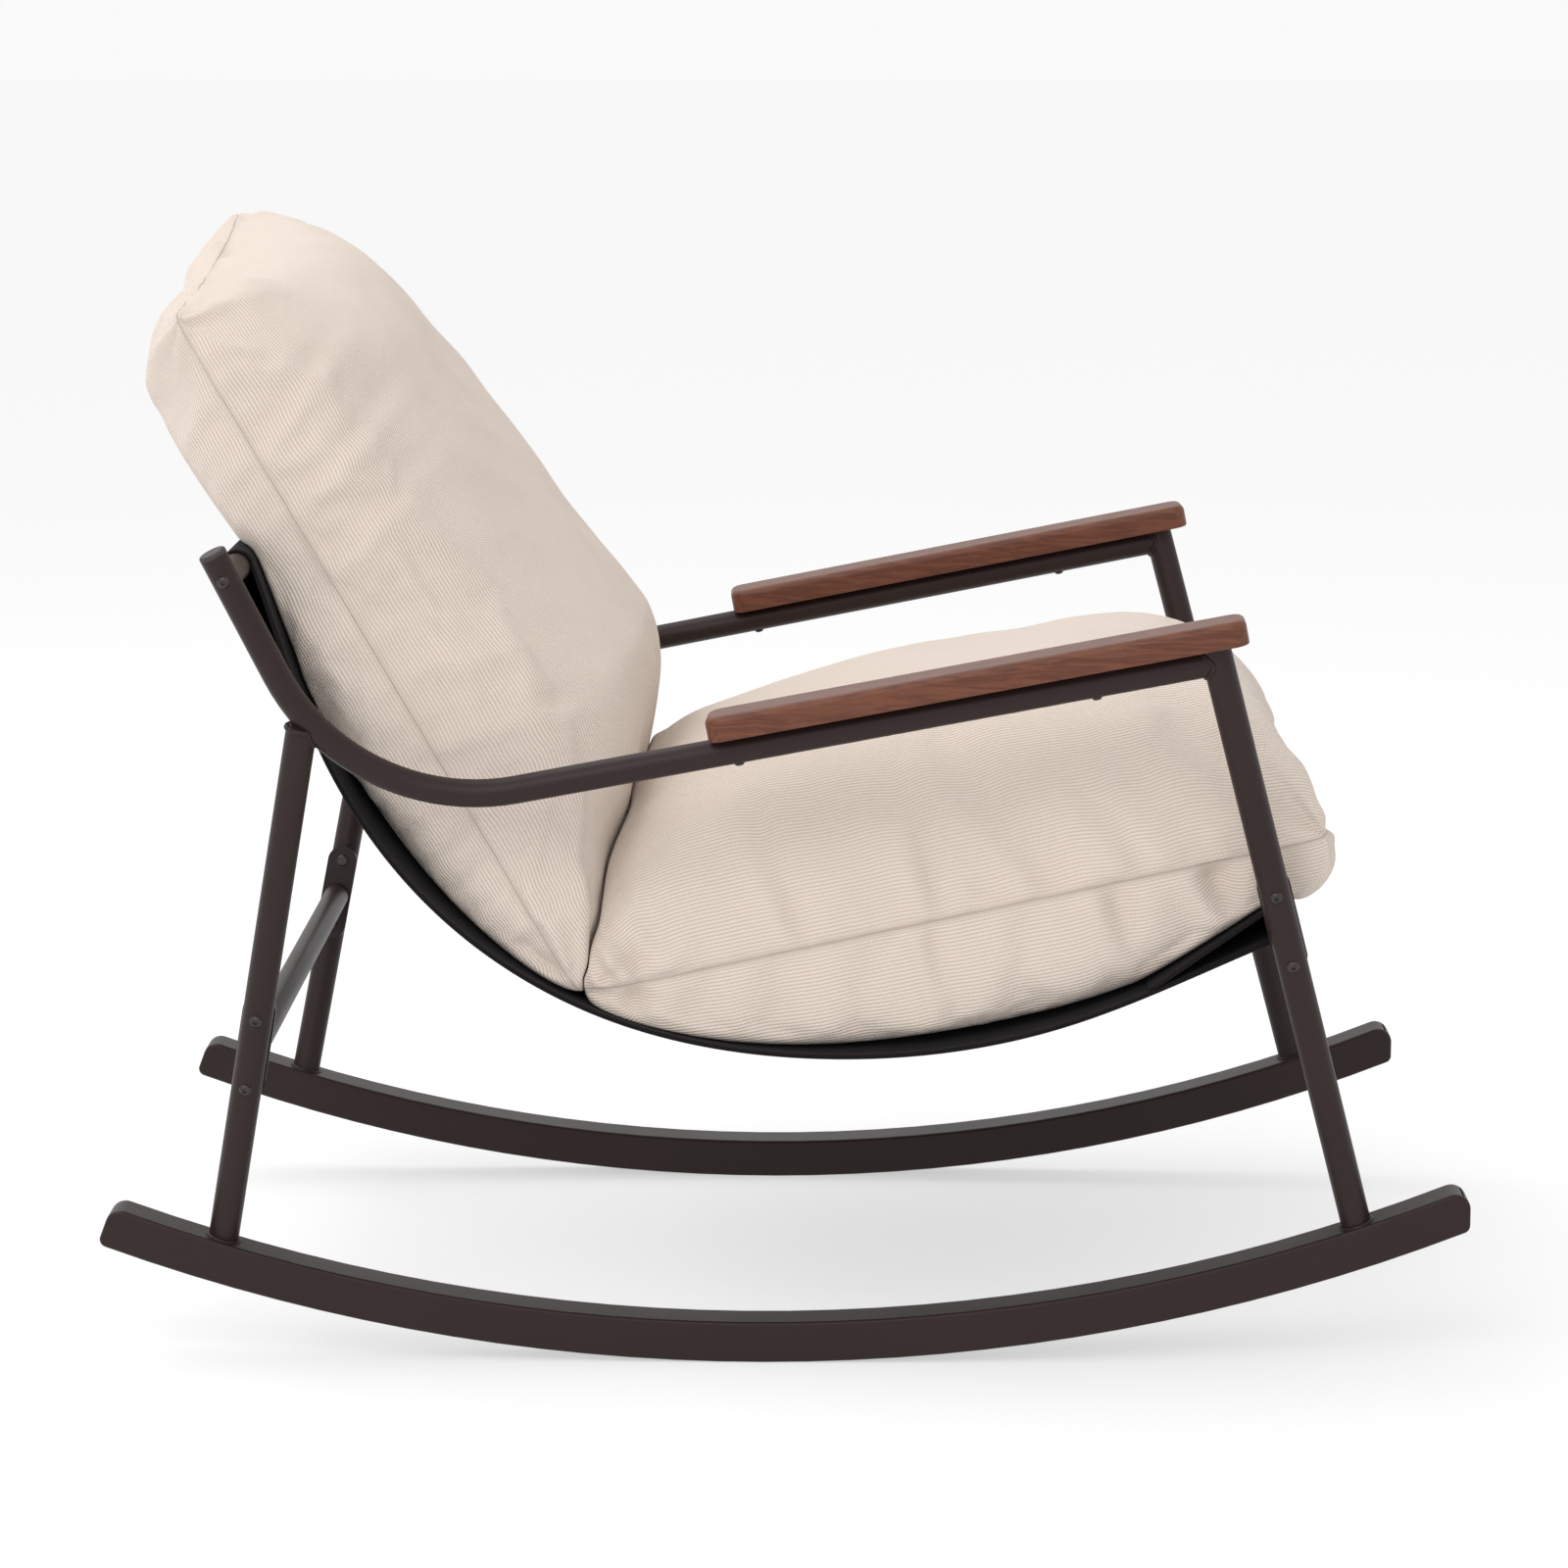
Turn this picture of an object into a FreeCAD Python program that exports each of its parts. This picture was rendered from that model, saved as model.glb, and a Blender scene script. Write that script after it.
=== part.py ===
import os
from math import asin, atan2, cos, hypot, pi, radians, sin, sqrt, tan

import FreeCAD
import Part

V = FreeCAD.Vector
os.makedirs("parts", exist_ok=True)

# Rocking chair, all sizes in millimetres. The chair faces +X, +Z is up, the floor is z = 0,
# and y = 0 is the mid-plane. The sitter's left side is +Y, the sitter's right side -Y.

# widths: the sling's width sets the cushions' and, with FRAME_CLEAR at each end of the
# front rail, how far apart the side frames stand
SLING_W = 580.0
CUSHION_INSET = 5.0
FRAME_CLEAR = 19.285

# side frames: flat frames of tube, leaning outwards by LEAN for each unit of height
LEAN = 0.165
LEG_R = 11.0
ARM_R = 10.0
RAIL_R = 10.0
WALL = 2.0

# runners: closed box section laid on an arc, its lowest point a little behind the middle
ROCK_R = 1370.0
ROCK_X = -18.0
RUNNER_H = 30.0
RUNNER_W = 34.0
RUNNER_OUT = 15.0
RUNNER_WALL = 4.0
RUNNER_TOP_R = 11.0
RUNNER_TOE_R = 6.0
RUNNER_EDGE_R = 2.5
RUNNER_REAR = -497.0
RUNNER_FRONT = 497.0

# legs, as the height-line of each axis: x at z = 0 and its slope dx/dz
REAR_LEG_X0 = -423.2
REAR_LEG_SLOPE = 0.183
REAR_LEG_TOP_Z = 474.0
FRONT_LEG_X0 = 443.0
FRONT_LEG_SLOPE = -0.2636

# arm tube: one bend between the upright back part and the rising arm
BEND_CORNER = (-302.6, 407.0)
BEND_R = 151.0
BACK_TILT = 25.4
ARM_RISE = 10.95
TUBE_TOP_Z = 598.0

# armrest board
REST_REAR_X = -48.0
REST_L = 383.0
REST_W = 46.0
REST_T = 18.0
REST_CORNER_R = 11.0
REST_EDGE_R = 5.0
REST_UNDER_R = 1.5
REST_SCREWS = (-31.0, 219.0)

# cross rails, the plates that carry the two lower ones, and the fasteners
TOP_RAIL_Z = 582.4
REAR_RAIL_Z = 233.0
FRONT_RAIL_Z = 329.0
BOLT_SPACING = 54.0
PLATE_W = 24.0
PLATE_T = 5.0
PLATE_SUNK = 1.5
RAIL_PLUG_L = 26.0
BOLT_R = 2.5
BOLT_HEAD = (4.6, 2.6)
HEAD_SUNK = 0.5
TOP_BOLT_GRIP = 14.0
SCREW_R = 2.0
SCREW_HEAD = (3.8, 2.2)
SCREW_L = 12.0
END_PLUG_T = 3.5
END_PLUG_L = 11.0

# sling: one sheet, hung over the top rail and the front rail in sewn sleeves
SLING_T = 1.5
SLEEVE_GAP = 0.4
SLING_SAG = ((-327.0, 448.5), (-250.0, 337.0), (-137.0, 261.5), (33.0, 228.5), (198.0, 251.0))
FRONT_SEAM = (262.0, 277.0)
TOP_SEAM = (-350.0, 505.0)

# cushions: knife-edge pillows, each about a seam line in the chair's side view
CUSHION_GAP = 0.4
RAIL_CLEAR = 9.0
SEAM_T = 2.5
SECTION_STEPS = 240
OUTLINE_STEPS = 36
PILLOW_STEPS = 4
SEAT_SEAM = ((-131.0, 296.0), (395.0, 387.0))
SEAT_CROWN = 138.0
SEAT_BELLY = 100.0
BACK_SEAM = ((-141.0, 262.0), (-436.0, 772.0))
BACK_CROWN = 156.0
BACK_BELLY = 88.0
BACK_SLUMP = 24.0

FOOT_HALF = SLING_W / 2 + FRAME_CLEAR - LEAN * FRONT_RAIL_Z
RUNNER_Y = FOOT_HALF + RUNNER_OUT
CUSHION_W = SLING_W - 2 * CUSHION_INSET

def save(name, shape):
    shape.exportStep("parts/" + name + ".step")


def largest(shape):
    return max(shape.Solids, key=lambda solid: solid.Volume)


def on_frame(x, z, side):
    """A point of the side frame's leaning mid-plane."""
    return V(x, side * (FOOT_HALF + LEAN * z), z)


def outward(side):
    """The side frame's own normal, away from the chair's middle."""
    return V(0, side, -LEAN).normalize()


def rod(start, end, radius):
    return Part.makeCylinder(radius, start.distanceToPoint(end), start, end - start)


def placed(shape, origin, along, across, up):
    """The shape with its own x, y and z axes turned to the three directions."""
    turn = FreeCAD.Rotation(along, across, up, "ZXY")
    shape.Placement = FreeCAD.Placement(origin, turn)
    return shape


def fastener(seat, out, radius, head, length, nut):
    """A dome-head bolt: seat is the middle of the head's flat side, out its direction."""
    head_r, head_t = head
    socket_r = 0.36 * head_r
    dome = Part.Arc(V(head_r, 0, 0), V(0.8 * head_r, 0, 0.72 * head_t), V(socket_r, 0, head_t))
    corners = [V(socket_r, 0, head_t), V(socket_r, 0, 0.45 * head_t), V(0, 0, 0.45 * head_t)]
    if nut:
        low = -length
        corners += [V(0, 0, low - head_t), V(0.8 * head_r, 0, low - head_t), V(head_r, 0, low - 0.6 * head_t)]
        corners += [V(head_r, 0, low), V(radius, 0, low)]
    else:
        corners += [V(0, 0, -length), V(radius, 0, -length)]
    corners += [V(radius, 0, 0), V(head_r, 0, 0)]
    wire = Part.Wire([dome.toShape()] + [Part.makeLine(a, b) for a, b in zip(corners, corners[1:])])
    solid = Part.Face(wire).revolve(V(0, 0, 0), V(0, 0, 1), 360)
    solid.Placement = FreeCAD.Placement(seat, FreeCAD.Rotation(V(0, 0, 1), out))
    return solid


# Runners: a closed box section laid on an arc, with rounded ends and eased edges


def runner_block(side, shrink=0.0):
    low_r, top_r = ROCK_R - shrink, ROCK_R - RUNNER_H + shrink
    rear, front = RUNNER_REAR + shrink, RUNNER_FRONT - shrink

    def at(radius, x):
        return V(x, 0, ROCK_R - sqrt(radius**2 - (x - ROCK_X) ** 2))

    slant = RUNNER_H * (ROCK_X - RUNNER_REAR) / ROCK_R
    low = Part.Arc(at(low_r, rear), at(low_r, ROCK_X), at(low_r, front))
    high = Part.Arc(at(top_r, front), at(top_r, ROCK_X), at(top_r, rear + slant))
    sides = [Part.LineSegment(low.EndPoint, high.StartPoint), Part.LineSegment(high.EndPoint, low.StartPoint)]
    wire = Part.Wire([low.toShape(), sides[0].toShape(), high.toShape(), sides[1].toShape()])
    width = RUNNER_W - 2 * shrink
    block = Part.Face(wire).extrude(V(0, width, 0))
    block.translate(V(0, side * RUNNER_Y - width / 2, 0))
    return block


def corner_edges(block, x_limit, above):
    """The end edges that run across the bar, upper or lower."""
    found = []
    for edge in block.Edges:
        flat = abs(edge.Vertexes[0].Z - edge.Vertexes[-1].Z) < 0.01 and edge.Length < 1.01 * RUNNER_W
        middle = edge.CenterOfMass
        level = ROCK_R - sqrt((ROCK_R - RUNNER_H / 2) ** 2 - (middle.x - ROCK_X) ** 2)
        if flat and abs(middle.x) > x_limit and (middle.z > level) == above:
            found.append(edge)
    return found


def runner(side):
    bar = runner_block(side)
    bar = bar.makeFillet(RUNNER_TOE_R, corner_edges(bar, 0.8 * RUNNER_FRONT, False))
    bar = bar.makeFillet(RUNNER_TOP_R, corner_edges(bar, 0.8 * RUNNER_FRONT, True))
    bar = bar.makeFillet(RUNNER_EDGE_R, [e for e in bar.Edges if e.Length > RUNNER_FRONT])
    return bar.cut(runner_block(side, RUNNER_WALL))


# Side frame: the bent arm tube and the two legs, cut to each other as for welding


def arm_height(x):
    """Height of the arm's axis at x."""
    return BEND_CORNER[1] + tan(radians(ARM_RISE)) * (x - BEND_CORNER[0])


def back_x(z):
    """The straight back part of the arm tube: its axis x at height z."""
    return BEND_CORNER[0] - tan(radians(BACK_TILT)) * (z - BEND_CORNER[1])


def arm_path(side):
    """Centre line of the arm tube: straight back part, one bend, straight arm."""
    corner = on_frame(*BEND_CORNER, side)
    slope = tan(radians(ARM_RISE))
    up = (on_frame(back_x(TUBE_TOP_Z), TUBE_TOP_Z, side) - corner).normalize()
    along = (on_frame(0, arm_height(0), side) - corner).normalize()
    half = (pi - up.getAngle(along)) / 2
    inward = (up + along).normalize() * (BEND_R * (1 / cos(half) - 1))
    bend = [corner + up * (BEND_R * tan(half)), corner + inward, corner + along * (BEND_R * tan(half))]
    front_x = (FRONT_LEG_X0 + FRONT_LEG_SLOPE * arm_height(0)) / (1 - FRONT_LEG_SLOPE * slope)
    return on_frame(back_x(TUBE_TOP_Z), TUBE_TOP_Z, side), bend, on_frame(front_x, arm_height(front_x), side)


def arm_rod(side, radius):
    top, bend, end = arm_path(side)
    lines = [Part.makeLine(top, bend[0]), Part.Arc(*bend).toShape(), Part.makeLine(bend[2], end)]
    ring = Part.Wire(Part.makeCircle(radius, top, bend[0] - top))
    return Part.Wire(lines).makePipeShell([ring], True, False)


def arm_axes(side):
    """Directions along the arm, level across it, and square to both."""
    end = arm_path(side)[2]
    along = (end - on_frame(0, arm_height(0), side)).normalize()
    across = V(-along.y, along.x, 0).normalize()
    return along, across, along.cross(across)


def rest_underside(side):
    """A block that fills the space above the plane on which the armrest lies."""
    along, across, up = arm_axes(side)
    length, width = RUNNER_FRONT - RUNNER_REAR, 4 * REST_W
    corner = on_frame(0, arm_height(0), side) + up * ARM_R - along * (length / 2) - across * (width / 2)
    return placed(Part.makeBox(length, width, length), corner, along, across, up)


def leg_axis(foot_x, slope, z, side):
    return on_frame(foot_x + slope * z, z, side)


def front_leg_rod(side, radius):
    heights = (2 * RUNNER_H, arm_height(FRONT_LEG_X0))
    ends = [leg_axis(FRONT_LEG_X0, FRONT_LEG_SLOPE, z, side) for z in heights]
    return rod(*ends, radius).cut(rest_underside(side))


def rear_leg_rod(side, radius):
    ends = [leg_axis(REAR_LEG_X0, REAR_LEG_SLOPE, z, side) for z in (2 * RUNNER_H, REAR_LEG_TOP_Z)]
    return rod(*ends, radius)


def arm_tube(side):
    tube = arm_rod(side, ARM_R).cut(arm_rod(side, ARM_R - WALL))
    tube = largest(tube.cut(front_leg_rod(side, LEG_R)))
    for part in [rest_screw(side, x) for x in REST_SCREWS] + [top_bolt(side)]:
        tube = tube.cut(part)
    return tube


def front_leg(side):
    tube = front_leg_rod(side, LEG_R).cut(front_leg_rod(side, LEG_R - WALL))
    tube = largest(tube.cut(runner_block(side)))
    for part in rail_bolts(side, FRONT_LEG_X0, FRONT_LEG_SLOPE, FRONT_RAIL_Z):
        tube = tube.cut(part)
    return tube


def rear_leg(side):
    tube = rear_leg_rod(side, LEG_R).cut(rear_leg_rod(side, LEG_R - WALL))
    tube = largest(tube.cut(runner_block(side)).cut(arm_rod(side, ARM_R)))
    for part in rail_bolts(side, REAR_LEG_X0, REAR_LEG_SLOPE, REAR_RAIL_Z):
        tube = tube.cut(part)
    return tube


def end_plug(side):
    """The plug in the arm tube's upper end: a stem in the bore under a rounded cap."""
    top, bend, _ = arm_path(side)
    out = (top - bend[0]).normalize()
    cap = Part.makeCylinder(ARM_R, END_PLUG_T, V(0, 0, 0))
    cap = cap.makeFillet(WALL, [e for e in cap.Edges if e.isClosed() and e.CenterOfMass.z > END_PLUG_T / 2])
    stem = Part.makeCylinder(ARM_R - WALL, END_PLUG_L, V(0, 0, -END_PLUG_L))
    plug = cap.fuse(stem)
    plug.Placement = FreeCAD.Placement(top, FreeCAD.Rotation(V(0, 0, 1), out))
    return largest(plug)


# Armrest boards and their screws


def armrest(side):
    along, across, up = arm_axes(side)
    board = Part.makeBox(REST_L, REST_W, REST_T)
    upright = [e for e in board.Edges if abs(e.Length - REST_T) < 0.01]
    board = board.makeFillet(REST_CORNER_R, upright)
    board = board.makeFillet(REST_EDGE_R, [e for e in board.Edges if e.CenterOfMass.z > REST_T - 0.01])
    board = board.makeFillet(REST_UNDER_R, [e for e in board.Edges if e.CenterOfMass.z < 0.01])
    rear = REST_REAR_X / along.x
    corner = on_frame(0, arm_height(0), side) + along * rear + up * ARM_R - across * (REST_W / 2)
    board = placed(board, corner, along, across, up)
    for x in REST_SCREWS:
        board = board.cut(rest_screw(side, x))
    return board


def rest_screw(side, x):
    up = arm_axes(side)[2]
    seat = on_frame(x, arm_height(x), side) - up * (ARM_R - HEAD_SUNK)
    return fastener(seat, -up, SCREW_R, SCREW_HEAD, 2 * ARM_R - HEAD_SUNK + SCREW_L, False)


# Lower rails: a round tube between two plates, each bolted to its leg


def rail_bolts(side, foot_x, slope, z):
    """The two bolts of one plate, from a seat in the leg's outer wall to the plate's inner face."""
    middle, along = leg_axis(foot_x, slope, z, side), V(slope, side * LEAN, 1).normalize()
    out = outward(side)
    length = 2 * LEG_R - HEAD_SUNK + PLATE_T - PLATE_SUNK
    spots = [middle + along * (s * BOLT_SPACING / 2) + out * (LEG_R - HEAD_SUNK) for s in (-1, 1)]
    return [fastener(spot, out, BOLT_R, BOLT_HEAD, length, True) for spot in spots]


def plate(side, foot_x, slope, z):
    """A round-ended plate bedded on the round leg, with a bolt at each end."""
    middle, along = leg_axis(foot_x, slope, z, side), V(slope, side * LEAN, 1).normalize()
    out = outward(side)
    across = out.cross(along)
    inner = middle - out * (LEG_R + PLATE_T - PLATE_SUNK)
    corner = inner - along * (BOLT_SPACING / 2) - across * (PLATE_W / 2)
    body = placed(Part.makeBox(BOLT_SPACING, PLATE_W, PLATE_T), corner, along, across, out)
    for s in (-1, 1):
        end = inner + along * (s * BOLT_SPACING / 2)
        body = body.fuse(rod(end, end + out * PLATE_T, PLATE_W / 2))
    leg = [middle + along * (s * 2 * BOLT_SPACING) for s in (-1, 1)]
    body = body.removeSplitter().cut(rod(*leg, LEG_R))
    for part in rail_bolts(side, foot_x, slope, z):
        body = body.cut(part)
    return largest(body)


def lower_rail(foot_x, slope, z):
    ends = [leg_axis(foot_x, slope, z, side) for side in (1, -1)]
    reach = 2 * BOLT_SPACING
    tube = rod(*ends, RAIL_R).cut(rod(*ends, RAIL_R - WALL))
    for side in (1, -1):
        middle, along = leg_axis(foot_x, slope, z, side), V(slope, side * LEAN, 1).normalize()
        out = outward(side)
        across = out.cross(along)
        corner = middle - out * (LEG_R + PLATE_T - PLATE_SUNK) - (along + across) * reach
        tube = tube.cut(placed(Part.makeBox(2 * reach, 2 * reach, reach), corner, along, across, out))
    return largest(tube)


# Top rail: coped between the arm tubes' upper ends, with a threaded plug in each end


def top_rail_rod(radius):
    x = back_x(TOP_RAIL_Z)
    bar = rod(on_frame(x, TOP_RAIL_Z, 1), on_frame(x, TOP_RAIL_Z, -1), radius)
    for side in (1, -1):
        bar = bar.cut(arm_rod(side, ARM_R))
    return largest(bar)


def top_rail_plug(side):
    half = FOOT_HALF + LEAN * TOP_RAIL_Z - ARM_R
    start = V(back_x(TOP_RAIL_Z), side * (half - RAIL_PLUG_L), TOP_RAIL_Z)
    plug = rod(start, start + V(0, side * (RAIL_PLUG_L + 2 * ARM_R), 0), RAIL_R - WALL)
    return largest(plug.common(top_rail_rod(RAIL_R)).cut(top_bolt(side)))


def top_bolt(side):
    seat = on_frame(back_x(TOP_RAIL_Z), TOP_RAIL_Z, side) + outward(side) * (ARM_R - HEAD_SUNK)
    return fastener(seat, outward(side), BOLT_R, BOLT_HEAD, 2 * ARM_R + TOP_BOLT_GRIP, False)


# Sling: its side-view line, from which the sheet and the cushions' bed are both made

TOP_RAIL = (back_x(TOP_RAIL_Z), TOP_RAIL_Z)
FRONT_RAIL = (FRONT_LEG_X0 + FRONT_LEG_SLOPE * FRONT_RAIL_Z, FRONT_RAIL_Z)
LOOP_R = RAIL_R + SLEEVE_GAP + SLING_T / 2


def tangent_point(point, centre, radius, turn):
    """Where a line from point touches the circle; turn +1 is the anticlockwise side."""
    dx, dz = centre[0] - point[0], centre[1] - point[1]
    angle = atan2(dz, dx) + turn * asin(radius / hypot(dx, dz))
    reach = sqrt(dx**2 + dz**2 - radius**2)
    return V(point[0] + reach * cos(angle), 0, point[1] + reach * sin(angle))


def sheet_line():
    """The main sheet's middle line, from the top rail's front to the front rail's underside."""
    start = tangent_point(SLING_SAG[0], TOP_RAIL, LOOP_R, -1)
    finish = tangent_point(SLING_SAG[-1], FRONT_RAIL, LOOP_R, -1)
    points = [start] + [V(x, 0, z) for x, z in SLING_SAG] + [finish]
    first, last = points[1] - points[0], points[-1] - points[-2]
    line = Part.BSplineCurve()
    line.interpolate(Points=points, InitialTangent=first.normalize(), FinalTangent=last.normalize())
    return line


def shifted(line, offset, steps=36):
    """A copy of the line, moved to the cushion's side by offset."""
    first, last = line.FirstParameter, line.LastParameter
    points = []
    for i in range(steps + 1):
        u = first + (last - first) * i / steps
        along = line.tangent(u)[0]
        points.append(line.value(u) + V(-along.z, 0, along.x) * offset)
    copy = Part.BSplineCurve()
    copy.interpolate(Points=points)
    return copy


def across_chair(wire, width):
    body = Part.Face(wire).extrude(V(0, width, 0))
    body.translate(V(0, -width / 2, 0))
    return body


def seam_on(line, near, offset):
    """The point of the sheet nearest to the named seam, moved off the sheet's middle."""
    u = line.parameter(V(near[0], 0, near[1]))
    along = line.tangent(u)[0]
    return line.value(u) + V(-along.z, 0, along.x) * offset


def sleeve(line, seam, rail, start, side):
    """The cloth that goes on round a rail and comes back to the sheet at the seam."""
    hub = V(rail[0], 0, rail[1])
    end = seam_on(line, seam, side * 0.9 * SLING_T)
    leave = tangent_point((end.x, end.z), rail, LOOP_R, 1)
    far = hub + (hub - end).normalize() * LOOP_R
    edges, tips = [], []
    for shift in (-SLING_T / 2, SLING_T / 2):
        a, m, b = (hub + (p - hub) * ((LOOP_R + shift) / LOOP_R) for p in (start, far, leave))
        tip = end + (leave - hub).normalize() * shift
        edges += [Part.Arc(a, m, b).toShape(), Part.makeLine(b, tip)]
        tips.append((a, tip))
    edges += [Part.makeLine(tips[0][k], tips[1][k]) for k in (0, 1)]
    return across_chair(Part.Wire(Part.__sortEdges__(edges)), SLING_W)


def sling():
    line = sheet_line()
    low, high = shifted(line, -SLING_T / 2), shifted(line, SLING_T / 2)
    caps = [Part.makeLine(low.StartPoint, high.StartPoint), Part.makeLine(low.EndPoint, high.EndPoint)]
    sheet = across_chair(Part.Wire(Part.__sortEdges__([low.toShape(), high.toShape()] + caps)), SLING_W)
    top = sleeve(line, TOP_SEAM, TOP_RAIL, line.StartPoint, -1)
    front = sleeve(line, FRONT_SEAM, FRONT_RAIL, line.EndPoint, 1)
    return largest(sheet.fuse([top, front]))


# Cushions: knife-edge pillows, drawn in to a seam at both sides, each resting on what is under it


def bed_line():
    """What the cushions lie on, from behind the top rail to the front rail's nose."""
    line = sheet_line()
    off = SLING_T / 2 + CUSHION_GAP
    over = LOOP_R + off + RAIL_CLEAR
    sheet = shifted(line, off)
    tip = seam_on(line, FRONT_SEAM, 0.9 * SLING_T + off)
    leave = tangent_point((tip.x, tip.z), FRONT_RAIL, over, 1)
    turns = [radians(a) for a in range(90, -1, -10)]
    points = [V(TOP_RAIL[0] - BACK_CROWN, 0, TOP_RAIL[1] + over)]
    points += [V(TOP_RAIL[0] + over * cos(a), 0, TOP_RAIL[1] + over * sin(a)) for a in turns]
    low, high = sheet.parameter(V(TOP_SEAM[0], 0, TOP_SEAM[1])), sheet.parameter(tip)
    points += [sheet.value(low + (high - low) * k / 60) for k in range(61)]
    points += [tip, leave]
    points += [V(FRONT_RAIL[0] + over * cos(a), 0, FRONT_RAIL[1] + over * sin(a)) for a in turns]
    return sorted({(round(p.x, 3), round(p.z, 3)) for p in points})


def height_on(line, x):
    """Height of a line of (x, z) points at x, or far down where it doesn't reach."""
    for (x0, z0), (x1, z1) in zip(line, line[1:]):
        if x0 <= x <= x1 and x1 > x0:
            return z0 + (z1 - z0) * (x - x0) / (x1 - x0)
    return -1000.0


def dome(t, power):
    """A rounded height from 0 at both ends to 1 in the middle."""
    return (1 - abs(2 * t - 1) ** power) ** (1 / power)


def seat_rise(t, v):
    return SEAT_CROWN * dome(t, 3.0) * dome((1 + v) / 2, 2.6)


def seat_fall(t, v):
    return SEAT_BELLY * dome(t, 2.6) * dome((1 + v) / 2, 5.0)


def back_rise(t, v):
    """Drawn in where it meets the seat, fullest at a third of its length, blunt on top."""
    lower = 1 - max(0.0, 1 - t / 0.32) ** 1.6
    upper = (1 - max(0.0, (t - 0.8) / 0.2) ** 2.4) ** (1 / 2.4)
    return BACK_CROWN * lower * upper * (1 - 0.48 * max(0.0, t - 0.32)) * dome((1 + v) / 2, 2.6)


def back_fall(t, v):
    return BACK_BELLY * dome(t, 2.4) * dome((1 + v) / 2, 3.0)


def section(seam, rise, fall, lengthen, v):
    """The pillow's side-view outline at v, from -1 to 1 across the chair, as points (x, z).
    rise and fall give the height over and under the seam line at t from 0 to 1 along it."""
    a, b = V(seam[0][0], 0, seam[0][1]), V(seam[1][0], 0, seam[1][1])
    along = (b - a).normalize()
    up = V(-along.z, 0, along.x) if along.x > 0 else V(along.z, 0, -along.x)
    points = []
    for i in range(SECTION_STEPS):
        angle = 2 * pi * (i + 0.5) / SECTION_STEPS
        t = 0.5 - 0.5 * cos(angle)
        height = SEAM_T + rise(t, v) if angle < pi else -SEAM_T - fall(t, v)
        points.append(a + along * (t * (a.distanceToPoint(b) + lengthen * v)) + up * height)
    return [(p.x, p.z) for p in points]


def even(points, count):
    """The closed outline again, as count points at equal steps along it."""
    loop = points + points[:1]
    steps = [hypot(b[0] - a[0], b[1] - a[1]) for a, b in zip(loop, loop[1:])]
    picked, done, k = [], 0.0, 0
    for i in range(count):
        target = sum(steps) * i / count
        while done + steps[k] < target:
            done += steps[k]
            k += 1
        share = (target - done) / max(steps[k], 1e-9)
        picked.append(tuple(a + (b - a) * share for a, b in zip(loop[k], loop[k + 1])))
    return picked


def pillow(outline):
    """One smooth skin through the outlines across the chair, closed by a narrow flat each side."""
    poles = []
    for k in range(-PILLOW_STEPS, PILLOW_STEPS + 1):
        v = sin(pi / 2 * k / PILLOW_STEPS)
        ring = even(outline(v), OUTLINE_STEPS)
        poles.append([V(x, v * CUSHION_W / 2, z) for x, z in ring + ring[:1]])
    knots, mults = [], []
    for count in (len(poles), len(poles[0])):
        knots.append([float(k) for k in range(count - 2)])
        mults.append([4] + [1] * (count - 4) + [4])
    skin = Part.BSplineSurface()
    skin.buildFromPolesMultsKnots(poles, *mults, *knots, False, False, 3, 3)
    face = skin.toShape()
    ends = [e for e in face.Edges if e.isClosed()]
    shell = Part.makeShell([face] + [Part.Face(Part.Wire(e)) for e in ends])
    shell.sewShape()
    return Part.makeSolid(shell)


def back_outline(v):
    bed = bed_line()
    points = section(BACK_SEAM, back_rise, back_fall, BACK_SLUMP, v)
    return [(x, max(z, height_on(bed, x))) for x, z in points]


def seat_outline(v):
    """As the seat's own form, but laid on the bed and pressed against the back cushion."""
    bed = bed_line()
    back = section(BACK_SEAM, back_rise, back_fall, BACK_SLUMP, v)
    front = sorted((z, x) for x, z in back[: SECTION_STEPS // 3])
    points = []
    for x, z in section(SEAT_SEAM, seat_rise, seat_fall, 0.0, v):
        x = max(x, height_on(front, z) + CUSHION_GAP)
        points.append((x, max(z, height_on(bed, x))))
    return points


def back_cushion():
    return pillow(back_outline)


def seat_cushion():
    return pillow(seat_outline)


RAILS = {
    "rear_rail": (REAR_LEG_X0, REAR_LEG_SLOPE, REAR_RAIL_Z),
    "front_rail": (FRONT_LEG_X0, FRONT_LEG_SLOPE, FRONT_RAIL_Z),
}
PAIRS = {
    "runner": runner,
    "rear_leg": rear_leg,
    "front_leg": front_leg,
    "arm_tube": arm_tube,
    "arm_tube_plug": end_plug,
    "armrest": armrest,
    "armrest_screws": lambda side: Part.makeCompound([rest_screw(side, x) for x in REST_SCREWS]),
    "rear_rail_plate": lambda side: plate(side, *RAILS["rear_rail"]),
    "front_rail_plate": lambda side: plate(side, *RAILS["front_rail"]),
    "top_rail_plug": top_rail_plug,
}
for name, make in PAIRS.items():
    save(name + "_left", make(1))
    save(name + "_right", make(-1))

save("top_rail", top_rail_rod(RAIL_R).cut(top_rail_rod(RAIL_R - WALL)))
for name, legs in RAILS.items():
    save(name, lower_rail(*legs))
    save(name + "_bolts", Part.makeCompound(rail_bolts(1, *legs) + rail_bolts(-1, *legs)))
save("top_rail_bolts", Part.makeCompound([top_bolt(1), top_bolt(-1)]))
save("sling", sling())
save("seat_cushion", seat_cushion())
save("back_cushion", back_cushion())
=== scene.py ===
import math

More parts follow.
